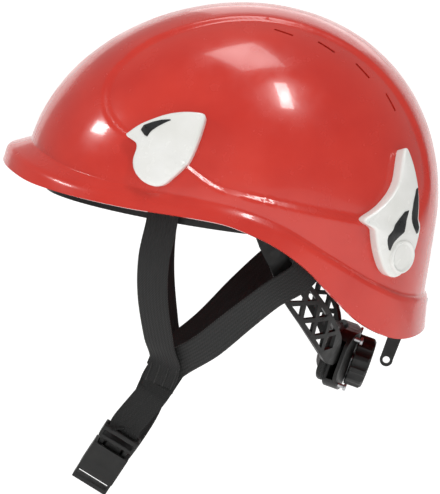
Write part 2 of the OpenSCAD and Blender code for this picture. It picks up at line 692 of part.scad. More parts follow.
module knob_screw() {
    color(steel) nape_frame() translate([0, 0, adjuster_level]) rotate([-90, 0, 0]) {
        translate([0, 0, cavity_out + 3.6]) cylinder(h = knob_start + knob_length - 2.2 - cavity_out - 3.4, d = 2.5, $fn = round_fn);
        translate([0, 0, knob_start + knob_length - 2.2]) cylinder(h = 1.8, d = 6, $fn = round_fn);
    }
}

// ---- Rear tether lug ----

lug_thickness = 3;
lug_foot = 2.6;
lug_back = rear_wall_y() - shell_wall - 0.4;
module tether_lug() {
    eye = tether_hole_d + 3.6;
    color(black) difference() {
        union() {
            translate([-7, lug_back - lug_foot, lug_screw_level - 7]) cube([14, lug_foot, 14]);
            rotate([90, 0, 90]) linear_extrude(lug_thickness, center = true) {
                polygon([[lug_back - 0.5, lug_screw_level + 6.5], [lug_back - 0.5, lug_screw_level - 6.5],
                    [lug_y + eye / 2, lug_level + 0.5], [lug_y - eye / 2, lug_level],
                    [lug_y + 1, lug_screw_level - 12], [lug_back - 6, lug_screw_level + 3]]);
                translate([lug_y, lug_level]) circle(d = eye, $fn = round_fn);
            }
        }
        translate([0, lug_y, lug_level]) rotate([0, 90, 0])
            cylinder(h = 20, d = tether_hole_d, center = true, $fn = round_fn);
        translate([0, lug_back - 30, lug_screw_level]) rotate([-90, 0, 0])
            cylinder(h = 60, d = lug_screw_d + 0.1, $fn = round_fn);
        translate([0, lug_back - lug_foot - 20, lug_screw_level]) rotate([-90, 0, 0])
            cylinder(h = 20, d = lug_screw_d + 4.5, $fn = round_fn);
    }
}
module tether_rivet() {
    color(steel) translate([0, 0, lug_screw_level]) rotate([-90, 0, 0]) {
        translate([0, 0, lug_back - lug_foot - 1.4]) cylinder(h = rear_wall_y() - lug_back + lug_foot + 5, d = lug_screw_d - 0.05, $fn = round_fn);
        translate([0, 0, lug_back - lug_foot - 1.8]) cylinder(h = 1.7, d = lug_screw_d + 3.4, $fn = round_fn);
        translate([0, 0, rear_wall_y() + 3.4]) cylinder(h = 1.4, d = lug_screw_d + 4, $fn = round_fn);
    }
}

// ---- Strap anchors and webbing ----

anchor_plate = 2.6;
anchor_gap = 3.2;
// In the anchor's frame X runs along the rim, Y upward and Z out of the shell
module anchor(s, k) {
    color(black) on_side(s) anchor_frame(k) translate([0, 0, -boss_depth - shell_wall - anchor_plate - 0.1]) {
        difference() {
            translate([-web_width / 2 - 3.5, -19, 0]) cube([web_width + 7, 27, anchor_plate]);
            translate([-web_width / 2 - 0.6, -15.5, -1]) cube([web_width + 1.2, anchor_gap, 10]);
        }
        cylinder(h = anchor_plate + boss_depth - 0.5, d = anchor_pin_d, $fn = round_fn);
    }
}
// Middle of the webbing where it lies against the anchor's inner face, at the slot
function anchor_slot(k) = let (a = anchor_place[k][0], p = skin(anchor_direction(k)))
    p - level_out(a) * (boss_depth + shell_wall + anchor_plate + 0.9 + web_thickness / 2)
    - [0, 0, 15.5 - anchor_gap / 2];
function along_rim(a) = let (h = level_out(a)) [-h[1], h[0], 0];

yoke_point = [28, -8, -98];
// The rear strap runs on past the joint; the front strap is sewn to its outer face there
front_route = [anchor_slot(0), anchor_slot(0) - [0, 0, 14], [80, -28, -24], [66, -25, -50],
    [47, -17.5, -78], yoke_point + [6.2, -3.6, 4], yoke_point + [2.2, -5.6, -10]];
rear_route = [anchor_slot(1), anchor_slot(1) - [0, 3, 14], [83, 47, -34], [71, 30, -54], [51, 12, -77],
    yoke_point + [0.2, 0, 0.8], yoke_point + [-1.6, -5.4, -12.6]];
chin_start = yoke_point + [-2.1, -6.6, -15.2];

buckle_axis = unit([-0.32, -0.37, -0.87]);
buckle_centre = [11, -39, -163];
buckle_length = 44;
function buckle_normal() = unit([1, 0, 0] - buckle_axis[0] * buckle_axis);
function buckle_across() = cross(buckle_normal(), buckle_axis);
function buckle_at(z) = buckle_centre + buckle_axis * z;
bar_z = -buckle_length / 2 + 4.6;
end_bar_z = buckle_length / 2 - 5;
left_chin = [chin_start, [24.6, -18, -119], [19, -29, -138], buckle_at(bar_z - 7), buckle_at(bar_z)];
right_chin = [side(chin_start, -1), [-25.4, -16.6, -120], [-22, -22, -138], [-13, -33, -160],
    buckle_at(end_bar_z - 2) - buckle_normal() * 8];
chin_across = [0.1, 0.8, -0.3];

module strap_front(s) {
    color(black) on_side(s) webbing(front_route, along_rim(anchor_place[0][0]), chin_across, web_width, web_thickness);
}
module strap_rear(s) {
    color(black) on_side(s) webbing(rear_route, along_rim(anchor_place[1][0]), chin_across, web_width, web_thickness);
}
module chin_strap(s) {
    color(black)
        if (s > 0) webbing(left_chin, chin_across, buckle_across(), web_width, web_thickness);
        else webbing(right_chin, side(chin_across, -1), buckle_across(), web_width, web_thickness);
}

// ---- Side-release buckle: local X across, local Y out of its face, local Z to its lower end ----

module buckle_frame() {
    aim(buckle_centre, -buckle_across(), buckle_axis) children();
}
module slab(x, y, z0, z1) {
    translate([-x / 2, -y / 2, z0]) cube([x, y, z1 - z0]);
}
mouth_z = -8;
window_z = [-3, 9];
mouth_width = buckle_width - 4.6;
prong_gap = 0.4;
prong_root = mouth_z - 3;
barb_z = [3.6, 7.8];
module buckle_male() {
    color(black) buckle_frame() difference() {
        union() {
            slab(buckle_width, buckle_depth - 1, -buckle_length / 2, prong_root - prong_gap - 1.3);
            slab(mouth_width - 9, 4, prong_root - 4, mouth_z + 1.5);
        }
        // Strap slot with its bar, open through the thickness
        translate([-web_width / 2 - 0.6, -20, bar_z - 1.2]) cube([web_width + 1.2, 40, 3.4]);
        translate([-web_width / 2 - 0.6, -1.6, -buckle_length / 2 - 1]) cube([web_width + 1.2, 3.2, 6]);
    }
}
module buckle_prong(s) {
    x = mouth_width / 2 - 0.5;
    color(black) buckle_frame() on_side(s) rotate([90, 0, 0]) linear_extrude(buckle_depth - 5.6, center = true)
        polygon([[x - 2.6, prong_root - 1], [x, prong_root - 1], [x, -2.4], [x + 1.7, barb_z[0]],
            [x + 1.7, barb_z[0] + 1.4], [x - 0.6, barb_z[1]], [x - 2.6, barb_z[1]]]);
}
module buckle_female() {
    color(black) buckle_frame() difference() {
        union() {
            slab(buckle_width, buckle_depth, mouth_z, 13);
            slab(web_width + 4.5, buckle_depth - 3, 12, buckle_length / 2);
        }
        slab(mouth_width, buckle_depth - 4, mouth_z - 1, 11);
        translate([-buckle_width, -(buckle_depth - 4) / 2, window_z[0]])
            cube([2 * buckle_width, buckle_depth - 4, window_z[1] - window_z[0]]);
        translate([-web_width / 2 - 0.6, -20, end_bar_z - 2]) cube([web_width + 1.2, 40, 4.2]);
    }
}

// ---- Selection ----

shell();
headband();
sweatband();
crown_pad();
cradle_strap(1, 0);  // cradle_strap_a
cradle_strap(-1, cradle_thickness + 1.2);  // cradle_strap_b
front_clip(1);  // front_clip_left
front_clip(-1);  // front_clip_right
front_clip_inlay(1);  // front_clip_inlay_left
front_clip_inlay(-1);  // front_clip_inlay_right
rear_clip(1);  // rear_clip_left
rear_clip(-1);  // rear_clip_right
rear_inlay(1, rear_wedge_front);  // rear_inlay_front_left
rear_inlay(-1, rear_wedge_front);  // rear_inlay_front_right
rear_inlay(1, rear_wedge_back);  // rear_inlay_back_left
rear_inlay(-1, rear_wedge_back);  // rear_inlay_back_right
rear_button(1);  // rear_button_left
rear_button(-1);  // rear_button_right
hanger_front(1);  // hanger_front_left
hanger_front(-1);  // hanger_front_right
hanger_rear(1);  // hanger_rear_left
hanger_rear(-1);  // hanger_rear_right
pivot_pin(1);  // pivot_pin_left
pivot_pin(-1);  // pivot_pin_right
nape_arm(1);  // nape_arm_left
nape_arm(-1);  // nape_arm_right
anchor(1, 0);  // anchor_front_left
anchor(-1, 0);  // anchor_front_right
anchor(1, 1);  // anchor_rear_left
anchor(-1, 1);  // anchor_rear_right
strap_front(1);  // strap_front_left
strap_front(-1);  // strap_front_right
strap_rear(1);  // strap_rear_left
strap_rear(-1);  // strap_rear_right
chin_strap(1);  // chin_strap_left
chin_strap(-1);  // chin_strap_right
nape_housing();
nape_cover();
cover_screws();
nape_pad();
pinion();
detent_spring();
knob();
knob_screw();
tether_lug();
tether_rivet();
buckle_male();
buckle_female();
buckle_prong(1);  // buckle_prong_left
buckle_prong(-1);  // buckle_prong_right
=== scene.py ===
# %% [markdown]
# # A climbing helmet
#
# A moulded shell with a peak, white lamp clips on its sides, black webbing with a side-release
# buckle, and an adjuster at the nape. The hard parts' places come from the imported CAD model, the
# frame. This script dresses that frame: smooth surfaces, rounded edges, real materials and light.
# Lengths in the modelling cells are millimetres, and one helper turns them into metres.

# %% Load the frame
import json
import math

import bmesh
import bpy
from mathutils import Matrix, Vector
from mathutils.bvhtree import BVHTree


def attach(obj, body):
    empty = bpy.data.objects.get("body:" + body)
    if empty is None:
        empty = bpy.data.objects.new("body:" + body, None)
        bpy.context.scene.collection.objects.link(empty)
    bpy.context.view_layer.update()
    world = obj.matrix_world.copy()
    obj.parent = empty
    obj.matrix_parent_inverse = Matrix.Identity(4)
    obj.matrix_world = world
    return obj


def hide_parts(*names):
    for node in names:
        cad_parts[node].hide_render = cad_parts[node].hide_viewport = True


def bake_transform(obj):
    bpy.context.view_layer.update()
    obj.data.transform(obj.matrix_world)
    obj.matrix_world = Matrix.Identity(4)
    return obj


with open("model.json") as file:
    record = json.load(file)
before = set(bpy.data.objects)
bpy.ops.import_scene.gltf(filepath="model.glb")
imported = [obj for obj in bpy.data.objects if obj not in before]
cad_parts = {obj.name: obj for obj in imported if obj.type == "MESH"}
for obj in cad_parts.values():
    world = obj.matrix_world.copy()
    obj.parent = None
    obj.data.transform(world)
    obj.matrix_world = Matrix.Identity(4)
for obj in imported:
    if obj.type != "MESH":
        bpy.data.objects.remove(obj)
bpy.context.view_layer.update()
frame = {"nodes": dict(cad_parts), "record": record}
MM = 0.001

# %% [markdown]
# ## Camera
#
# The helmet is seen from the wearer's left, from a little above, with its front raised. A very long lens
# at 4 m keeps the perspective flat. The raised front is a roll of the camera, so the helmet itself
# stays in its worn attitude.

# %% Camera
VIEW_AZIMUTH, VIEW_ELEVATION, VIEW_ROLL = 90.0, 8.0, 9.0
AIM = Vector((0.0083, 0.0112, -0.0195))
CAMERA_DISTANCE = 4.0


def view_axes():
    """Right, up and backward directions of the camera, with its roll."""
    a, e, r = (math.radians(v) for v in (VIEW_AZIMUTH, VIEW_ELEVATION, VIEW_ROLL))
    back = Vector((math.sin(a) * math.cos(e), -math.cos(a) * math.cos(e), math.sin(e)))
    right = Vector((math.cos(a), math.sin(a), 0))
    up = back.cross(right)
    return (right * math.cos(r) + up * math.sin(r), up * math.cos(r) - right * math.sin(r), back)


RIGHT, UP, BACK = view_axes()
camera = bpy.data.objects.new("camera", bpy.data.cameras.new("camera"))
camera.data.lens = 520
camera.data.sensor_width = 40.4
camera.data.clip_end = 20
camera.matrix_world = Matrix.Translation(AIM + BACK * CAMERA_DISTANCE) @ Matrix(
    (RIGHT, UP, BACK)).transposed().to_4x4()
bpy.context.scene.collection.objects.link(camera)
bpy.context.scene.camera = camera

# %% [markdown]
# ## Light and floor
#
# The light is soft and even: two softboxes overhead draw the long white shapes on the glossy shell,
# a fill from the camera's side opens the black webbing, and a pale floor and a light world keep the
# surroundings near white. The floor lies square to the camera's own upright.

# %% Light and floor
FLOOR_DROP = 0.30


def softbox(name, offset, size, watts, target=(0.0, 0.0, 0.03)):
    """Area light at an offset in the camera's right, up and backward directions, aimed at target."""
    lamp = bpy.data.lights.new(name, "AREA")
    lamp.shape = "RECTANGLE"
    lamp.size, lamp.size_y = size
    lamp.energy = watts
    obj = bpy.data.objects.new(name, lamp)
    place = RIGHT * offset[0] + UP * offset[1] + BACK * offset[2]
    obj.location = place
    obj.rotation_mode = "QUATERNION"
    obj.rotation_quaternion = (Vector(target) - place).to_track_quat("-Z", "Y")
    bpy.context.scene.collection.objects.link(obj)
    return obj


softbox("key_left", (-1.3, 0.72, 0.5), (0.34, 0.16), 4)
softbox("key_right", (0.50, 1.05, 1.0), (0.14, 0.5), 5)
softbox("top", (0.1, 1.5, 0.3), (0.7, 0.5), 5)
softbox("fill", (-0.35, 0.15, 1.8), (1.2, 1.2), 4.2).visible_glossy = False
softbox("back_rim", (0.3, 0.9, -1.2), (0.9, 0.5), 1.2)

world = bpy.data.worlds.new("studio")
world.use_nodes = True
world.node_tree.nodes["Background"].inputs["Color"].default_value = (1, 1, 1, 1)
world.node_tree.nodes["Background"].inputs["Strength"].default_value = 0.36
bpy.context.scene.world = world
bpy.context.scene.view_settings.view_transform = "Standard"


def studio_floor():
    """Floor that curves up into a backdrop behind the helmet, square to the camera's upright."""
    bm = bmesh.new()
    bmesh.ops.create_grid(bm, x_segments=2, y_segments=60, size=1)
    for v in bm.verts:
        across, run = v.co.x * 1.5, v.co.y * 3
        turn = min(math.pi / 2, max(0.0, (-run - 1.0) / 0.9))
        deep = run if turn == 0 else -1.0 - 0.9 * math.sin(turn)
        rise = 0.9 * (1 - math.cos(turn)) + max(0.0, -run - 1.0 - 0.9 * math.pi / 2)
        v.co = RIGHT * across + BACK * deep + UP * (rise - FLOOR_DROP)
    bmesh.ops.reverse_faces(bm, faces=bm.faces)
    mesh = bpy.data.meshes.new("studio_floor")
    bm.to_mesh(mesh)
    bm.free()
    obj = bpy.data.objects.new("studio_floor", mesh)
    mesh.polygons.foreach_set("use_smooth", [True] * len(mesh.polygons))
    bpy.context.scene.collection.objects.link(obj)
    return obj


floor = studio_floor()

# %% [markdown]
# ## Materials
#
# Each material is named for the real stuff and starts from its usual values: ABS plastic has an IOR
# of 1.53 and nylon 1.53, polyester webbing is matt with a sheen, and plated steel is a rough metal.
# Colours are sRGB hex. One helper adds a node with its settings and links.

# %% Material helpers


def linear(code, alpha=1.0):
    """sRGB hex to a linear RGBA tuple."""
    values = [int(code[i:i + 2], 16) / 255 for i in (1, 3, 5)]
    return tuple(v / 12.92 if v <= 0.04045 else ((v + 0.055) / 1.055) ** 2.4 for v in values) + (alpha,)


def add(tree, kind, settings=None, into=None, **links):
    """Adds a node. Settings are attributes or input values, links join sockets to its inputs, and
    into joins its output, given by name, to another node's socket."""
    node = tree.nodes.new(kind)
    for key, value in (settings or {}).items():
        if hasattr(node, key):
            setattr(node, key, value)
        else:
            node.inputs[key].default_value = value
    for key, socket in links.items():
        place = int(key[2:]) if key.startswith("in") and key[2:].isdigit() else key.replace("_", " ")
        tree.links.new(socket, node.inputs[place])
    if into:
        tree.links.new(node.outputs[into[0]], into[1])
    return node


def per_mm(size):
    """Scale of a texture whose features are so many millimetres across."""
    return 1 / (size * MM)


def levels(low, high, to_low, to_high):
    """Settings of a Map Range node."""
    return {"From Min": low, "From Max": high, "To Min": to_low, "To Max": to_high}


def material(name, colour, roughness, ior=1.5, metallic=0.0, **constants):
    """Principled material with constants set on the shader itself; returns it and its parts."""
    mat = bpy.data.materials.new(name)
    mat.use_nodes = True
    tree = mat.node_tree
    shader = tree.nodes["Principled BSDF"]
    shader.inputs["Base Color"].default_value = linear(colour)
    shader.inputs["Roughness"].default_value = roughness
    shader.inputs["IOR"].default_value = ior
    shader.inputs["Metallic"].default_value = metallic
    mat.diffuse_color = linear(colour)
    for key, value in constants.items():
        shader.inputs[key.replace("_", " ")].default_value = value
    return mat, tree, shader


def moulded_finish(mat, tree, shader, tones, cloud_mm, gloss, gloss_mm, grain_mm, grain_depth_mm):
    """Moulded plastic: faint clouds in the colour, patches of gloss and a fine grain in relief."""
    at = add(tree, "ShaderNodeTexCoord").outputs["Object"]
    cloud = add(tree, "ShaderNodeTexNoise", {"Scale": per_mm(cloud_mm), "Detail": 3.0}, Vector=at)
    share = add(tree, "ShaderNodeMapRange", levels(0.3, 0.7, 0, 1), Value=cloud.outputs["Fac"])
    add(tree, "ShaderNodeMixRGB", {"Color1": linear(tones[0]), "Color2": linear(tones[1])},
        ("Color", shader.inputs["Base Color"]), Fac=share.outputs["Result"])
    patches = add(tree, "ShaderNodeTexNoise", {"Scale": per_mm(gloss_mm), "Detail": 4.0}, Vector=at)
    add(tree, "ShaderNodeMapRange", levels(0.3, 0.7, *gloss), ("Result", shader.inputs["Roughness"]),
        Value=patches.outputs["Fac"])
    grain = add(tree, "ShaderNodeTexNoise", {"Scale": per_mm(grain_mm), "Detail": 1.0}, Vector=at)
    add(tree, "ShaderNodeBump", {"Strength": 1.0, "Distance": grain_depth_mm * MM},
        ("Normal", shader.inputs["Normal"]), Height=grain.outputs["Fac"])
    return mat


# %% [markdown]
# ### Plastics and steel
#
# The shell and clips are glossy injection-moulded ABS: a clear skin over the colour, with a trace of
# orange peel. Harness parts are black nylon with the fine spark-eroded grain of their mould, about
# half a millimetre. Screws and rivets are zinc-plated steel, a metal with small uneven patches.

# %% Plastics and steel
RED = moulded_finish(
    *material("injected_abs_red", "#CC3021", 0.16, 1.53, Coat_Weight=0.4, Coat_Roughness=0.05, Coat_IOR=1.5),
    ("#C7291C", "#D43526"), 45, (0.16, 0.30), 14, 2.6, 0.010)
WHITE = moulded_finish(
    *material("injected_abs_white", "#EEEEE9", 0.2, 1.53, Coat_Weight=0.3, Coat_Roughness=0.08),
    ("#E6E6E1", "#F1F1EE"), 22, (0.16, 0.30), 6, 1.8, 0.008)
INLAY = moulded_finish(
    *material("hard_inlay_black", "#1D1E1F", 0.3),
    ("#181919", "#232425"), 6, (0.26, 0.4), 3, 0.9, 0.010)
NYLON = moulded_finish(
    *material("moulded_nylon", "#0D0D0C", 0.42, 1.5, Specular_IOR_Level=0.4),
    ("#0A0A09", "#131312"), 9, (0.32, 0.52), 5, 0.5, 0.035)
STEEL = moulded_finish(
    *material("plated_steel", "#B5B6B8", 0.32, metallic=1.0),
    ("#A9AAAC", "#BEBFC1"), 2, (0.24, 0.42), 1.2, 0.4, 0.010)

# %% [markdown]
# ### Cloth
#
# Webbing is woven: warp yarns run along it and show as fine ribs, crossed by a herringbone. The
# pattern follows each strap's own UV map, which holds millimetres, so a yarn has the same size on
# every strap. It is drawn a little coarser than real, 1.1 mm, so that it shows. The pads are a
# knitted cover over foam, with round stitches about 1.4 mm apart.

# %% Cloth materials
YARN_MM = 1.1


def woven_polyester():
    """Black polyester webbing with its ribs and herringbone."""
    mat, tree, shader = material("woven_polyester", "#0E0E0D", 0.72, 1.5, Sheen_Weight=0.04,
                                 Sheen_Roughness=0.4)
    place = add(tree, "ShaderNodeUVMap", {"uv_map": "millimetres"}).outputs["UV"]
    split = add(tree, "ShaderNodeSeparateXYZ", Vector=place)
    yarns = []
    for angle in (32, -32):
        turned = add(tree, "ShaderNodeMapping", {"Rotation": (0, 0, math.radians(angle))}, Vector=place)
        wave = {"Scale": math.pi / 10 / YARN_MM, "Distortion": 0.25, "Detail": 1.0}
        yarns.append(add(tree, "ShaderNodeTexWave", wave, Vector=turned.outputs["Vector"]).outputs["Fac"])
    product = add(tree, "ShaderNodeMath", {"operation": "MULTIPLY"}, in0=yarns[0], in1=yarns[1])
    cross = product.outputs["Value"]
    rib = add(tree, "ShaderNodeMath", {"operation": "PINGPONG"}, in0=split.outputs["X"])
    rib.inputs[1].default_value = YARN_MM
    height = add(tree, "ShaderNodeMath", {"operation": "ADD"}, in0=cross, in1=rib.outputs["Value"])
    add(tree, "ShaderNodeMixRGB", {"Color1": linear("#090909"), "Color2": linear("#1B1B1A")},
        ("Color", shader.inputs["Base Color"]), Fac=cross)
    add(tree, "ShaderNodeBump", {"Strength": 1.0, "Distance": 0.22 * MM}, ("Normal", shader.inputs["Normal"]),
        Height=height.outputs["Value"])
    return mat


def knitted_cover():
    """Charcoal knitted cover of the pads."""
    mat, tree, shader = material("knitted_cover", "#181817", 0.85, 1.5, Sheen_Weight=0.25,
                                 Sheen_Roughness=0.5)
    at = add(tree, "ShaderNodeTexCoord").outputs["Object"]
    stitches = add(tree, "ShaderNodeTexVoronoi", {"Scale": per_mm(1.4)}, Vector=at)
    share = add(tree, "ShaderNodeMapRange", levels(0, 0.7, 1, 0), Value=stitches.outputs["Distance"])
    add(tree, "ShaderNodeMixRGB", {"Color1": linear("#111111"), "Color2": linear("#222221")},
        ("Color", shader.inputs["Base Color"]), Fac=share.outputs["Result"])
    add(tree, "ShaderNodeBump", {"Strength": 1.0, "Distance": 0.25 * MM}, ("Normal", shader.inputs["Normal"]),
        Height=share.outputs["Result"])
    return mat


WEB, KNIT = woven_polyester(), knitted_cover()
THREAD = moulded_finish(
    *material("sewing_thread", "#20201F", 0.6, 1.5, Sheen_Weight=0.1),
    ("#1B1B1A", "#262624"), 1, (0.5, 0.7), 1, 0.35, 0.03)
PAPER = moulded_finish(
    *material("studio_paper", "#F6F6F5", 0.9, Emission_Color=(1, 1, 1, 1), Emission_Strength=0.45),
    ("#F5F5F4", "#F8F8F7"), 60, (0.86, 0.94), 9, 4, 0.02)


def seen_from_front(mat):
    """Clears a sheet's back, so that it never hides the helmet from someone behind or under it."""
    tree = mat.node_tree
    behind = add(tree, "ShaderNodeNewGeometry").outputs["Backfacing"]
    clear = add(tree, "ShaderNodeBsdfTransparent").outputs["BSDF"]
    add(tree, "ShaderNodeMixShader", None, ("Shader", tree.nodes["Material Output"].inputs["Surface"]),
        in0=behind, in1=tree.nodes["Principled BSDF"].outputs["BSDF"], in2=clear)


seen_from_front(PAPER)
floor.data.materials.append(PAPER)
print("materials", len(bpy.data.materials))

# %% [markdown]
# ## Making a piece
#
# Every new piece is modelled in millimetres in a bmesh. This helper scales it to metres, gives it a
# material, smooths it up to an angle, joins it to its CAD body and says which CAD nodes it replaces.

# %% Finish helper


def finish_piece(bm, name, mat, body, nodes=(), smooth_deg=40, modifiers=()):
    """Turns a bmesh in millimetres into a finished piece that stands for CAD nodes."""
    bmesh.ops.scale(bm, vec=(MM, MM, MM), verts=bm.verts)
    mesh = bpy.data.meshes.new(name)
    bm.to_mesh(mesh)
    bm.free()
    mesh.polygons.foreach_set("use_smooth", [True] * len(mesh.polygons))
    mesh.set_sharp_from_angle(angle=math.radians(smooth_deg))
    mesh.materials.append(mat)
    obj = bpy.data.objects.new(name, mesh)
    bpy.context.scene.collection.objects.link(obj)
    for kind, settings in modifiers:
        mod = obj.modifiers.new(kind.lower(), kind)
        for key, value in settings.items():
            setattr(mod, key, value)
    if body:
        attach(obj, body)
    if nodes:
        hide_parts(*nodes)
    return obj


def closed(bm, distance=0.01):
    """Merges doubles and turns all faces outwards."""
    bmesh.ops.remove_doubles(bm, verts=bm.verts, dist=distance)
    bmesh.ops.recalc_face_normals(bm, faces=bm.faces)


# %% [markdown]
# ## The shell's surface
#
# The dome is an egg: a half ellipsoid whose crown leans to the rear, on a straight skirt. A side
# panel is set back behind the crown band and above the belt, and a short brim turns out at the foot
# and down at the rim. A few formulas hold all of it, so the surface can be sampled as finely as the
# gloss needs. The same directions place the clips and the strap anchors.

# %% Shell formulas
HALF_LENGTH, HALF_WIDTH, EQUATOR = 130.5, 102.0, 15.5
DOME_Y, DOME_SHIFT, RISE = 12.5, 11.5, 136.0 - 15.5
SHELL_WALL, PANEL_DEPTH, BAND_HALF = 2.8, 2.2, 33.0
RIM_LEVEL = [(0, 14), (15, 12), (30, 9), (60, 8), (88, 8.5), (99, 3), (106, -3), (114, -13),
             (123, -28), (133, -42), (145, -50.5), (155, -52.5), (180, -50)]
CREASE_LEVEL = [(0, 30), (20, 27), (40, 22.5), (60, 20.5), (90, 19), (105, 12), (120, -2),
                (135, -15), (150, -23.5), (165, -27), (180, -28)]
BRIM_REACH = [(0, 14), (20, 11.9), (40, 7.5), (65, 4), (90, 3), (130, 2.2), (180, 2.2)]
BRIM_DROP = [(0, 6.4), (60, 6), (90, 5), (120, 2.5), (180, 2)]


def smooth(t):
    u = min(1.0, max(0.0, t))
    return u * u * (3 - 2 * u)


def curve(points, a):
    """Smooth curve through (angle, value) points."""
    i = max(k for k in range(len(points) - 1) if a >= points[k][0])

    def slope(k):
        if k <= 0 or k >= len(points) - 1:
            return 0.0
        return (points[k + 1][1] - points[k - 1][1]) / (points[k + 1][0] - points[k - 1][0])

    (a0, v0), (a1, v1) = points[i], points[i + 1]
    w, t = a1 - a0, (a - a0) / (a1 - a0)
    return ((2 * t**3 - 3 * t**2 + 1) * v0 + (t**3 - 2 * t**2 + t) * w * slope(i)
            + (3 * t**2 - 2 * t**3) * v1 + (t**3 - t**2) * w * slope(i + 1))


def dome(s):
    return Vector((HALF_WIDTH * (1.14 * s[0] - 0.14 * s[0]**3),
                   DOME_Y + HALF_LENGTH * s[1] + DOME_SHIFT * max(0.0, s[2])**2, EQUATOR + RISE * s[2]))


def outward(s):
    return Vector((s[0] / HALF_WIDTH, s[1] / HALF_LENGTH, max(0.0, s[2]) / RISE)).normalized()


def level_out(a):
    r = math.radians(a)
    return Vector((math.sin(r) / HALF_WIDTH, -math.cos(r) / HALF_LENGTH, 0)).normalized()


def inside_panel(p):
    """Distance inside the set-back side panel; negative on the band, the belt and the front."""
    reach = 38.0
    belt = 28.5 - 0.085 * (p.y - 10) + 16 * smooth((10 - p.y) / 50)
    edges = (abs(p.x) - BAND_HALF - 10 * smooth((20 - p.y) / 90), p.z - belt, p.y + 84)
    return reach - math.sqrt(sum(max(0.0, reach - e)**2 for e in edges))


def skin(s):
    p = dome(s)
    return p - outward(s) * PANEL_DEPTH * smooth(inside_panel(p) / 3.6 + 0.5)


def facing(a, z):
    h, r = (z - EQUATOR) / RISE, math.radians(a)
    flat = math.sqrt(max(0.0, 1 - h * h)) if h > 0 else 1.0
    return (flat * math.sin(r), -flat * math.cos(r), h)


def dome_at(y, z):
    h = (z - EQUATOR) / RISE
    f = (y - DOME_Y - DOME_SHIFT * max(0.0, h)**2) / HALF_LENGTH
    return (math.sqrt(max(0.0, 1 - f * f - max(0.0, h)**2)), f, h)


def rounded(points, cut, steps):
    """Polyline with each inner corner replaced by a short parabola."""
    out = [points[0]]
    for a, b, c in zip(points, points[1:], points[2:]):
        start = b + (a - b).normalized() * min(cut, (a - b).length * 0.49)
        end = b + (c - b).normalized() * min(cut, (c - b).length * 0.49)
        for k in range(steps + 1):
            t = k / steps
            out.append(start * (1 - t)**2 + b * 2 * t * (1 - t) + end * t**2)
    return out + [points[-1]]


# %% [markdown]
# The surface starts as a flat grid. Its columns go round the helmet and its rows go from the crown
# to the rim, over the fillet of the crease and the roll of the brim. Merging the doubles closes the
# back seam and the pole at the crown. A wall thickness follows as a modifier.

# %% Shell
AROUND, DOME_ROWS = 360, 120


def shell_column(a):
    """Points from the crown to the rim at azimuth a, from -180 to 180."""
    b, h = abs(a), level_out(a)
    top = (curve(CREASE_LEVEL, b) - EQUATOR) / RISE
    last = math.degrees(math.asin(top)) if top > 0 else top * 57.3
    points = []
    for i in range(DOME_ROWS + 1):
        lat = 90 + (last - 90) * i / DOME_ROWS
        up = math.sin(math.radians(lat)) if lat > 0 else lat / 57.3
        points.append(skin(facing(a, EQUATOR + RISE * up)))
    foot = points.pop()
    shoulder = foot + h * curve(BRIM_REACH, b) - Vector((0, 0, curve(BRIM_DROP, b)))
    rim = Vector((shoulder.x, shoulder.y, curve(RIM_LEVEL, b))) + h * 1.5
    return points[:-1] + rounded([points[-1], foot, shoulder, rim], 3.2, 6)


def shell_surface():
    columns = [shell_column(-180 + 360 * k / AROUND) for k in range(AROUND + 1)]
    rows = len(columns[0])
    bm = bmesh.new()
    bmesh.ops.create_grid(bm, x_segments=AROUND, y_segments=rows - 1, size=1)
    for v in bm.verts:
        v.co = columns[round((v.co.x + 1) / 2 * AROUND)][round((v.co.y + 1) / 2 * (rows - 1))]
    closed(bm, 0.001)
    return bm


bm = shell_surface()
SHELL_TREE = BVHTree.FromBMesh(bm)
shell = finish_piece(bm, "helmet_shell", RED, "root", ["shell"], 32, [
    ("SOLIDIFY", {"thickness": SHELL_WALL * MM, "offset": -1.0})])
print("shell faces", len(shell.data.polygons))

# %% [markdown]
# ### Vents
#
# Each vent is a narrow slot at the top of a shallow pocket whose floor runs out towards the side.
# Cutters shaped like the pocket and the slot are joined into one mesh, and a boolean takes them out
# of the shell. The cutters' edges are rounded first, so the moulded edges are soft.

# %% Vent cutters
VENT_SIDE, VENT_FIRST, VENT_STEP, VENT_COUNT = 0.385, 3.5, 14, 4
VENT_LENGTH, VENT_WIDTH, POCKET_DEPTH = 12.5, 1.8, 1.4


def basis(at, x, z):
    """Frame at a point with local Z along z and local X as near x as it can be."""
    ez = Vector(z).normalized()
    ex = (Vector(x) - ez * ez.dot(Vector(x))).normalized()
    return Matrix.Translation(Vector(at)) @ Matrix((ex, ez.cross(ex), ez)).transposed().to_4x4()


def block(bm, size, centre, soften=0.0, turn=None):
    """Box with optional rounded edges; returns its vertices."""
    made = bmesh.ops.create_cube(bm, size=1)["verts"]
    bmesh.ops.scale(bm, vec=size, verts=made)
    if soften:
        edges = list({e for v in made for e in v.link_edges})
        made = bmesh.ops.bevel(bm, geom=edges, offset=soften, segments=3, profile=0.5, affect="EDGES",
                               material=-1)["verts"]
    if turn:
        bmesh.ops.rotate(bm, verts=made, matrix=turn)
    bmesh.ops.translate(bm, verts=made, vec=centre)
    return made


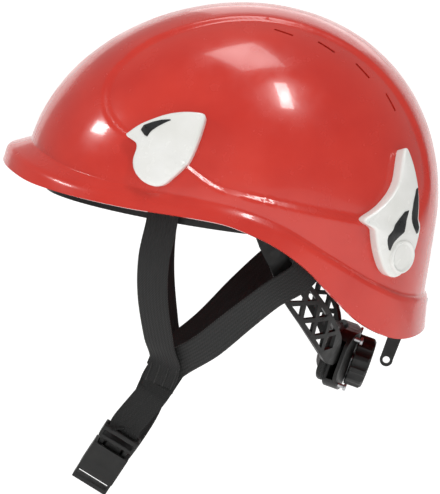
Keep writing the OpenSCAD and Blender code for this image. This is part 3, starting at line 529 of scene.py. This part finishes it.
def vent_cutters():
    bm = bmesh.new()
    for side in (1, -1):
        for k in range(VENT_COUNT):
            t = math.radians(VENT_FIRST + VENT_STEP * k)
            r = math.sqrt(1 - VENT_SIDE**2)
            s = (VENT_SIDE, r * math.sin(t), r * math.cos(t))
            made = block(bm, (VENT_LENGTH, VENT_WIDTH, 30), (0, 0, 0), 0.5)
            made += block(bm, (VENT_LENGTH + 3, 12.5, 8), (0, -3.6, 4.3 - POCKET_DEPTH), 0.9,
                          Matrix.Rotation(math.radians(-4), 3, "X"))
            place = basis(skin(s), (0.25, math.cos(t), -math.sin(t)), outward(s))
            bmesh.ops.transform(bm, matrix=place, verts=made)
            if side < 0:
                bmesh.ops.scale(bm, vec=(-1, 1, 1), verts=made)
                bmesh.ops.reverse_faces(bm, faces=list({f for v in made for f in v.link_faces}))
    bmesh.ops.scale(bm, vec=(MM, MM, MM), verts=bm.verts)
    mesh = bpy.data.meshes.new("vent_cutters")
    bm.to_mesh(mesh)
    bm.free()
    obj = bpy.data.objects.new("vent_cutters", mesh)
    bpy.context.scene.collection.objects.link(obj)
    return obj


def apply_all(obj, smooth_deg):
    """Bakes an object's modifiers into its mesh."""
    graph = bpy.context.evaluated_depsgraph_get()
    mesh = bpy.data.meshes.new_from_object(obj.evaluated_get(graph))
    obj.modifiers.clear()
    obj.data = mesh
    mesh.polygons.foreach_set("use_smooth", [True] * len(mesh.polygons))
    mesh.set_sharp_from_angle(angle=math.radians(smooth_deg))


cutters = vent_cutters()
cut = shell.modifiers.new("vents", "BOOLEAN")
cut.operation, cut.solver, cut.object = "DIFFERENCE", "EXACT", cutters
apply_all(shell, 32)
bpy.data.objects.remove(cutters)
print("shell with vents", len(shell.data.polygons))

# %% [markdown]
# ## Lamp clips
#
# Two white mouldings sit on each side of the shell to hold a lamp's strap. Each starts as its flat
# outline, whose corners are cut smooth. It is extruded, its top edge is bevelled round, and then it
# is sliced into a grid, so that it can be laid over the shell: each point goes to the shell below it
# and then out along the shell's normal.

# %% Laying a moulding on the shell
CLIP_HEIGHT, INLAY_DEPTH, INLAY_PROUD = 7.5, 1.2, 0.45
FRONT_SEAT, REAR_SEAT = dome_at(-30, 49), dome_at(119.5, 3)
FRONT_OUTLINE = [(-25.3, 3.4), (-19, 9.8), (-12.1, 14.1), (-6, 17.7), (0.5, 20.5), (8, 22.5), (15.4, 23.4),
                 (18.4, 22.9), (19.2, 20.6), (18.4, 8), (15.8, -6.1), (12.6, -12), (8.2, -17.6), (3.7, -23.2),
                 (-0.5, -25), (-4.7, -24.9), (-9, -23.8), (-12.6, -21.6), (-15.8, -18.4), (-17.6, -14.5),
                 (-18, -10.5), (-17, -5.6), (-17.6, -2.4), (-20.6, -0.8), (-24.6, 0.6), (-26, 2)]
FRONT_WEDGE = [(-18.5, 7.6), (-12.4, 2), (-11.2, 5.6), (-8.4, 8.9), (-4, 12.6), (1, 16), (-8.3, 13.6)]
REAR_OUTLINE = [(-2.3, 60.6), (-5.2, 52.7), (-7.5, 43.7), (-10.4, 38.4), (-13.7, 34.1), (-21.2, 26.3),
                (-31.8, 19.2), (-32.1, 17.2), (-24.7, 14), (-24, 10.6), (-23.1, 7.3), (-20.5, 0),
                (-16.5, -7.6), (-13.6, -11.4), (-9.6, -14.6), (-5, -15.7), (-0.5, -14.4), (3.5, -11),
                (7, -6.1), (10.3, 2.5), (11.7, 12), (11.7, 22), (10.4, 35.7), (6.6, 50), (2.1, 61.1), (0, 62)]
REAR_WEDGE_FRONT = [(1.2, 29.6), (-15.7, 11.9), (-16, 7), (-13.1, 0.6), (-11.8, 5), (-10.1, 8.4), (-2.1, 15)]
REAR_WEDGE_BACK = [(7.3, 42), (3.1, 27), (4.5, 15.7), (8.4, 11.6), (9.4, 18), (9, 30)]
BUTTON_AT = (-2.6, -2.0)


def cut_corners(points, rounds):
    """Rounds an outline by cutting each corner a quarter of the way along its sides, again and again."""
    for _ in range(rounds):
        ahead = points[1:] + points[:1]
        points = [p for (ax, ay), (bx, by) in zip(points, ahead)
                  for p in ((ax * 0.75 + bx * 0.25, ay * 0.75 + by * 0.25),
                            (ax * 0.25 + bx * 0.75, ay * 0.25 + by * 0.75))]
    return points


def plate(outline, low, high, edge, segments=4):
    """Flat plate between two heights with a rounded top edge, sliced so that it can bend."""
    bm = bmesh.new()
    face = bm.faces.new([bm.verts.new((x, y, low)) for x, y in outline])
    top = bmesh.ops.extrude_face_region(bm, geom=[face])["geom"]
    bmesh.ops.translate(bm, vec=(0, 0, high - low), verts=[g for g in top if isinstance(g, bmesh.types.BMVert)])
    rim = [e for e in bm.edges if all(v.co.z > high - 0.01 for v in e.verts)]
    bmesh.ops.bevel(bm, geom=rim, offset=edge, segments=segments, profile=0.5, affect="EDGES", material=-1)
    xs, ys = [v.co.x for v in bm.verts], [v.co.y for v in bm.verts]
    for axis, first, last in ((0, min(xs), max(xs)), (1, min(ys), max(ys))):
        for k in range(1, int((last - first) / 3.0) + 1):
            where = first + k * 3.0
            normal = (1, 0, 0) if axis == 0 else (0, 1, 0)
            place = (where, 0, 0) if axis == 0 else (0, where, 0)
            bmesh.ops.bisect_plane(bm, geom=bm.verts[:] + bm.edges[:] + bm.faces[:], dist=0.01, plane_co=place,
                                   plane_no=normal)
    bmesh.ops.recalc_face_normals(bm, faces=bm.faces)
    return bm


def lay_on_shell(bm, seat):
    """Moves a flat moulding onto the shell's left side at a seat, each point out along the normal."""
    n = outward(seat)
    place = basis(skin(seat) + n * 0.3, Vector((0, 0, 1)).cross(n), n)
    for v in bm.verts:
        height = v.co.z
        start = place @ Vector((v.co.x, v.co.y, 40))
        hit = SHELL_TREE.ray_cast(start, -n)[0]
        v.co = hit + outward(dome_at(hit.y, hit.z)) * height


def mirrored(bm, side):
    """Turns a piece of the left side into the right side's when side is -1."""
    if side < 0:
        bmesh.ops.scale(bm, vec=(-1, 1, 1), verts=bm.verts)
        bmesh.ops.reverse_faces(bm, faces=bm.faces)
    return bm


def side_name(side):
    return "left" if side > 0 else "right"


# %% Clips and inlays
for side in (1, -1):
    hand = side_name(side)
    for name, seat, outline in (("front_clip", FRONT_SEAT, FRONT_OUTLINE),
                                ("rear_clip", REAR_SEAT, REAR_OUTLINE)):
        bm = plate(cut_corners(outline, 2), -0.4, CLIP_HEIGHT, 2.0)
        lay_on_shell(bm, seat)
        finish_piece(mirrored(bm, side), f"{name}_moulding_{hand}", WHITE, "root", [f"{name}_{hand}"],
                     50)
    for name, seat, outline in (("front_clip_inlay", FRONT_SEAT, FRONT_WEDGE),
                                ("rear_inlay_front", REAR_SEAT, REAR_WEDGE_FRONT),
                                ("rear_inlay_back", REAR_SEAT, REAR_WEDGE_BACK)):
        bm = plate(cut_corners(outline, 1), CLIP_HEIGHT - INLAY_DEPTH, CLIP_HEIGHT + INLAY_PROUD, 0.25, 2)
        lay_on_shell(bm, seat)
        finish_piece(mirrored(bm, side), f"{name}_wedge_{hand}", INLAY, "root", [f"{name}_{hand}"],
                     40)
print("clips laid on the shell")

# %% [markdown]
# The round button at the foot of a rear clip is a turned shape: its profile is spun round its axis.
# It has a raised rim and a shallow dish.

# %% Button


def turned(profile, steps=72):
    """Solid of revolution about Z from (radius, height) points that start and end on the axis."""
    bm = bmesh.new()
    verts = [bm.verts.new((r, 0, z)) for r, z in profile]
    edges = [bm.edges.new(pair) for pair in zip(verts, verts[1:])]
    bmesh.ops.spin(bm, geom=verts + edges, cent=(0, 0, 0), axis=(0, 0, 1), angle=2 * math.pi, steps=steps,
                   use_merge=True)
    closed(bm, 0.005)
    return bm


BUTTON_PROFILE = [(0, 5.6), (10.5, 5.6), (10.5, 8.2), (10.1, 8.75), (9.5, 8.9), (8.9, 8.75), (8.5, 8.2),
                  (8.1, 7.9), (7.4, 7.95), (4, 8.15), (0, 8.25)]
for side in (1, -1):
    bm = turned(BUTTON_PROFILE)
    n = outward(REAR_SEAT)
    place = basis(skin(REAR_SEAT) + n * 0.3, Vector((0, 0, 1)).cross(n), n)
    bmesh.ops.transform(bm, matrix=place @ Matrix.Translation((*BUTTON_AT, 0)), verts=bm.verts)
    finish_piece(mirrored(bm, side), f"rear_button_disc_{side_name(side)}", WHITE, "root",
                 [f"rear_button_{side_name(side)}"], 50)

# %% [markdown]
# ## Webbing
#
# A strap is a flat ribbon along a smooth run through a few given points. It starts as a grid
# whose columns go across the strap and whose rows follow the run. A wall thickness makes it cloth,
# and its UV map is laid out in millimetres for the weave.

# %% Strap routes
ANCHORS, WEB_WIDTH, WEB_THICKNESS = [(71, 28), (117, 10)], 20.0, 1.3
BOSS_DEPTH, ANCHOR_PLATE = 4.5, 2.6


def bend(p, i, t):
    """Point on the smooth run between route points i and i + 1."""
    a, b, c, d = p[max(i - 1, 0)], p[i], p[i + 1], p[min(i + 2, len(p) - 1)]
    return 0.5 * (2 * b + (c - a) * t + (2 * a - 5 * b + 4 * c - d) * t**2 + (3 * b - a - 3 * c + d) * t**3)


def anchor_slot(k):
    """Middle of the webbing at an anchor's slot."""
    a, z = ANCHORS[k]
    return (skin(facing(a, z)) - level_out(a) * (BOSS_DEPTH + SHELL_WALL + ANCHOR_PLATE + 0.9 + WEB_THICKNESS / 2)
            - Vector((0, 0, 15.5 - 1.6)))


def along_rim(a):
    h = level_out(a)
    return Vector((-h.y, h.x, 0))


def points(*rows):
    return [Vector(row) for row in rows]


YOKE = Vector((28, -8, -98))
BUCKLE_AXIS = Vector((-0.32, -0.37, -0.87)).normalized()
BUCKLE_CENTRE = Vector((11, -39, -163))
BUCKLE_NORMAL = (Vector((1, 0, 0)) - BUCKLE_AXIS * BUCKLE_AXIS.x).normalized()
BUCKLE_ACROSS = BUCKLE_NORMAL.cross(BUCKLE_AXIS)
BAR_Z, END_BAR_Z = -17.4, 17.0
CHIN_ACROSS = Vector((0.1, 0.8, -0.3))
FRONT_ROUTE = [anchor_slot(0) + Vector((0, 0, 3)), anchor_slot(0) - Vector((0, 0, 14))] + points(
    (80, -28, -24), (66, -25, -50), (47, -17.5, -78)) + [
        YOKE + Vector((6.2, -3.6, 4)), YOKE + Vector((2.2, -5.6, -10))]
REAR_ROUTE = [anchor_slot(1) + Vector((0, 0, 3)), anchor_slot(1) - Vector((0, 3, 14))] + points(
    (83, 47, -34), (71, 30, -54), (51, 12, -77)) + [
        YOKE + Vector((0.2, 0, 0.8)), YOKE + Vector((-1.6, -5.4, -12.6))]
LEFT_CHIN = [YOKE + Vector((-1.7, 0.2, 0.6)), YOKE + Vector((-3.6, -6.6, -14.6))] + points(
    (24, -18, -119), (19, -29, -138)) + [
        BUCKLE_CENTRE + BUCKLE_AXIS * (BAR_Z - 7), BUCKLE_CENTRE + BUCKLE_AXIS * BAR_Z]
RIGHT_CHIN = points((-26.3, -7.8, -97.4), (-24.4, -14.6, -112.6), (-25, -16.6, -120), (-22, -22, -138),
                    (-13, -33, -160)) + [BUCKLE_CENTRE + BUCKLE_AXIS * (END_BAR_Z - 2) - BUCKLE_NORMAL * 8]


# %% Ribbon


def ribbon_bmesh(route, across_a, across_b, width, steps=14, columns=8):
    """Flat strap surface along a route, with its UV map in millimetres."""
    path = [bend(route, i, k / steps) for i in range(len(route) - 1) for k in range(steps)] + [route[-1]]
    last = len(path) - 1
    bm = bmesh.new()
    bmesh.ops.create_grid(bm, x_segments=columns, y_segments=last, size=1)
    run = [0.0]
    for a, b in zip(path, path[1:]):
        run.append(run[-1] + (b - a).length)
    mm = bm.loops.layers.uv.new("millimetres")
    place = {v: ((v.co.x + 1) / 2, round((v.co.y + 1) / 2 * last)) for v in bm.verts}
    for face in bm.faces:
        for loop in face.loops:
            u, row = place[loop.vert]
            loop[mm].uv = (u * width, run[row])
    for v, (u, row) in place.items():
        d = (path[min(row + 1, last)] - path[max(row - 1, 0)]).normalized()
        raw = across_a.lerp(across_b, smooth(row / last))
        w = (raw - d * raw.dot(d)).normalized()
        crown = 0.12 * (1 - (2 * u - 1)**2)
        v.co = path[row] + w * (u - 0.5) * width + d.cross(w) * crown
    return bm


def strap(name, route, across_a, across_b, body, node, width=WEB_WIDTH, thickness=WEB_THICKNESS):
    """Finished strap with its cloth thickness and soft edges."""
    bm = ribbon_bmesh(route, Vector(across_a), Vector(across_b), width)
    return finish_piece(bm, name, WEB, body, [node], 60, [
        ("SOLIDIFY", {"thickness": thickness * MM, "offset": 0.0}),
        ("BEVEL", {"width": 0.28 * MM, "segments": 2, "limit_method": "ANGLE", "angle_limit": math.radians(50)})])


def opposite(route):
    return [Vector((-p.x, p.y, p.z)) for p in route]


rim_front, rim_rear = along_rim(ANCHORS[0][0]), along_rim(ANCHORS[1][0])
for side in (1, -1):
    hand = side_name(side)
    flip = (lambda r: r) if side > 0 else opposite
    front_start, rear_start, end = (flip([v])[0] for v in (rim_front, rim_rear, CHIN_ACROSS))
    strap(f"front_strap_{hand}", flip(FRONT_ROUTE), front_start, end, "root", f"strap_front_{hand}")
    strap(f"rear_strap_{hand}", flip(REAR_ROUTE), rear_start, end, "root", f"strap_rear_{hand}")
strap("chin_webbing_left", LEFT_CHIN, CHIN_ACROSS, BUCKLE_ACROSS, "root", "chin_strap_left")
chin_right = strap("chin_webbing_right", RIGHT_CHIN, opposite([CHIN_ACROSS])[0], BUCKLE_ACROSS, None,
                   "chin_strap_right")
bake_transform(chin_right)
print("straps made")

# %% [markdown]
# ### Sewn joints
#
# Where straps meet, rows of thick thread hold them together. A stitch is a short rounded bar that
# lies on the cloth. The rows follow a strap's own route, so they lie flat on it.

# %% Stitches


def stitch_rows(name, route, across_a, across_b, first, last, rows, body, lift, width=WEB_WIDTH):
    """Rows of stitches along a stretch of a strap, from one share of its route to another."""
    bm = bmesh.new()
    count = 9
    for side_of_cloth in (1, -1):
        for row in rows:
            for k in range(count):
                t = (first + (last - first) * k / (count - 1)) * (len(route) - 1)
                i = min(int(t), len(route) - 2)
                here, ahead = bend(route, i, t - i), bend(route, i, min(1.0, t - i + 0.02))
                d = (ahead - here).normalized()
                raw = Vector(across_a).lerp(Vector(across_b), smooth(t / (len(route) - 1)))
                w = (raw - d * raw.dot(d)).normalized()
                made = block(bm, (0.55, 1.7, 0.5), (0, 0, 0), 0.18)
                up = d.cross(w) * side_of_cloth
                place = basis(here + w * row * width + up * lift, w, up)
                bmesh.ops.transform(bm, matrix=place, verts=made)
    return finish_piece(bm, name, THREAD, body, [], 60)


for side in (1, -1):
    flip = (lambda r: r) if side > 0 else opposite
    stitch_rows(f"joint_stitches_{side_name(side)}", flip(FRONT_ROUTE),
                flip([rim_front])[0], flip([CHIN_ACROSS])[0],
                0.86, 0.995, (-0.42, -0.14, 0.14, 0.42), "root", WEB_THICKNESS / 2 + 0.15)
print("stitches made")

# %% [markdown]
# ## Cradle
#
# Two textile straps cross over the head inside the shell and carry it clear of the crown. They run
# between the shell's hangers, and the second passes over the first.

# %% Cradle straps
SOCKET_LEVEL, HANGER_AZIMUTH, CRADLE_TOP = 34, (52, 128), 98.0
CRADLE_WIDTH, CRADLE_THICKNESS = 18.0, 1.2


def cradle_end(a):
    s = facing(a, SOCKET_LEVEL)
    p = skin(s) - outward(s) * (SHELL_WALL - 0.6)
    return Vector((p.x, p.y, 0)) - level_out(a) * 10.6 + Vector((0, 0, SOCKET_LEVEL - 8 - 10 + 3 + 0.4))


def cradle_route(lift):
    a, b = cradle_end(HANGER_AZIMUTH[0]), cradle_end(HANGER_AZIMUTH[1])
    c = Vector((-b.x, b.y, b.z))
    top = Vector((0, (a.y + b.y) / 2, CRADLE_TOP + lift))
    shoulders = [Vector((p.x * 0.52, top.y * 0.35 + p.y * 0.58, CRADLE_TOP - 13 + lift)) for p in (a, c)]
    sides = [[Vector((p.x * f, p.y * g, p.z + up)) for f, g, up in ((1, 1, 0), (0.96, 0.96, 13), (0.84, 0.86, 40))]
             for p in (a, c)]
    return sides[0] + [shoulders[0], top, shoulders[1]] + sides[1][::-1]


for node, side, lift in (("cradle_strap_a", 1, 0.0), ("cradle_strap_b", -1, CRADLE_THICKNESS + 1.2)):
    route = cradle_route(lift)
    across = (route[-1] - route[0]).cross(Vector((0, 0, 1)))
    if side < 0:
        route, across = opposite(route), opposite([across])[0]
    strap(node.replace("strap", "webbing"), route, across, across, "root", node,
          CRADLE_WIDTH, CRADLE_THICKNESS)

# %% [markdown]
# ## Pads
#
# A pad is foam in a knitted cover: crowned in the middle, with edges that pull in to a seam. Each
# starts as a sphere. Its outline is squared off, it is flattened so that the crown is high and the
# edge thin, and then it is bent to the curve it lies on: the crown pad to a ball, the nape pad and the
# sweatband round the head.

# %% Pads


def pillow(width, height, thickness, squareness=0.45):
    """Flat crowned pillow in the XY plane, with a thin edge all round."""
    bm = bmesh.new()
    bmesh.ops.create_uvsphere(bm, u_segments=96, v_segments=48, radius=1)
    for v in bm.verts:
        x, y, z = v.co
        flat = math.hypot(x, y)
        if flat > 1e-6:
            c, s = x / flat, y / flat
            corner = (abs(c)**(2 / squareness) + abs(s)**(2 / squareness)) ** (-squareness / 2)
            x, y = flat * c * corner, flat * s * corner
        swell = math.copysign(abs(z) ** 0.62, z)
        v.co = (x * width / 2, y * height / 2, swell * thickness / 2)
    return bm


CROWN_BOW = 62.0
bm = pillow(53.6, 53.6, 4.8, 1.0)
pad_y = cradle_route(0)[4].y
for v in bm.verts:
    r = math.hypot(v.co.x, v.co.y)
    sink = CROWN_BOW - math.sqrt(CROWN_BOW**2 - r * r)
    v.co = Vector((v.co.x, v.co.y + pad_y, CRADLE_TOP - CRADLE_THICKNESS / 2 - 3.6 + v.co.z - sink))
finish_piece(bm, "crown_cushion", KNIT, "root", ["crown_pad"], 60)

BAND_X, BAND_Y, BAND_CENTRE_Y, BAND_WALL = 75.5, 100.0, -3.0, 1.8
SWEAT_THICKNESS, SWEAT_HEIGHT, SWEAT_ANGLE = 5.0, 27.0, 46.0
bm = pillow(2.0, SWEAT_HEIGHT, SWEAT_THICKNESS - 0.1, 0.16)
for v in bm.verts:
    a = math.radians(v.co.x * SWEAT_ANGLE)
    inward = BAND_WALL + 0.1 + SWEAT_THICKNESS / 2 + v.co.z
    v.co = Vector(((BAND_X - inward) * math.sin(a), BAND_CENTRE_Y - (BAND_Y - inward) * math.cos(a), v.co.y + 15))
closed(bm)
finish_piece(bm, "sweatband_cushion", KNIT, "root", ["sweatband"], 60)

# %% [markdown]
# The nape pad is bent round the adjuster's own axis, which is leaned back about the arms' pivots.

# %% Nape pad
PIVOT, LEAN, ARM_RADIUS, ADJUSTER_LEVEL = Vector((0, 38, 8)), 11.0, 78.0, -71.4
NAPE = Matrix.Translation(PIVOT) @ Matrix.Rotation(math.radians(-LEAN), 4, "X")
bm = pillow(63.0, 34.0, 6.6, 0.4)
for v in bm.verts:
    r = ARM_RADIUS - 2.4 - 0.8 - 2.2 - 0.2 - 3.3 + v.co.z
    a = v.co.x / (ARM_RADIUS - 8)
    v.co = NAPE @ Vector((r * math.sin(a), r * math.cos(a), ADJUSTER_LEVEL + v.co.y))
closed(bm)
finish_piece(bm, "nape_cushion", KNIT, "yoke", ["nape_pad"], 60)

# %% [markdown]
# ## Softened hard parts
#
# The CAD model's hard parts have the right shape and sharp edges, and moulded plastic never has sharp
# edges. A copy of the part has its loose triangles merged and its flat faces joined up, and a bevel
# rounds every edge that turns more than a given angle.

# %% Softened copies


def softened(node, mat, width=0.35, segments=2, angle=35):
    """Copy of a CAD part with rounded edges, which stands for it."""
    bm = bmesh.new()
    bm.from_mesh(frame["nodes"][node].data)
    bmesh.ops.remove_doubles(bm, verts=bm.verts, dist=0.00001)
    bmesh.ops.dissolve_limit(bm, angle_limit=math.radians(1.0), verts=bm.verts, edges=bm.edges)
    bmesh.ops.scale(bm, vec=(1 / MM, 1 / MM, 1 / MM), verts=bm.verts)
    body = next(b for b, nodes in frame["record"]["behaviour"]["bodies"].items() if node in nodes)
    return finish_piece(bm, f"{node}_part", mat, body, [node], 35, [
        ("BEVEL", {"width": width * MM, "segments": segments, "limit_method": "ANGLE",
                   "angle_limit": math.radians(angle), "use_clamp_overlap": True, "harden_normals": False})])


for node, width in (("headband", 0.4), ("nape_housing", 0.8), ("nape_cover", 0.8), ("knob", 0.6),
                    ("tether_lug", 0.5), ("buckle_male", 0.7), ("buckle_female", 0.8),
                    ("buckle_prong_left", 0.4), ("buckle_prong_right", 0.4),
                    ("nape_arm_left", 0.45), ("nape_arm_right", 0.45)):
    softened(node, NYLON, width)
for hand in ("left", "right"):
    for part in ("hanger_front", "hanger_rear", "anchor_front", "anchor_rear", "pivot_pin"):
        softened(f"{part}_{hand}", NYLON, 0.35)
for node in ("tether_rivet", "cover_screws", "knob_screw"):
    softened(node, STEEL, 0.2)

# %% [markdown]
# ## Parts that stay as they are
#
# What is left of the CAD model sits out of sight or is small. It keeps its mesh and gets the real
# materials.

# %% Materials of the carried parts
for name, obj in frame["nodes"].items():
    for place in obj.material_slots:
        place.material = STEEL if name in ("pinion", "detent_spring", "knob_screw", "cover_screws") else NYLON
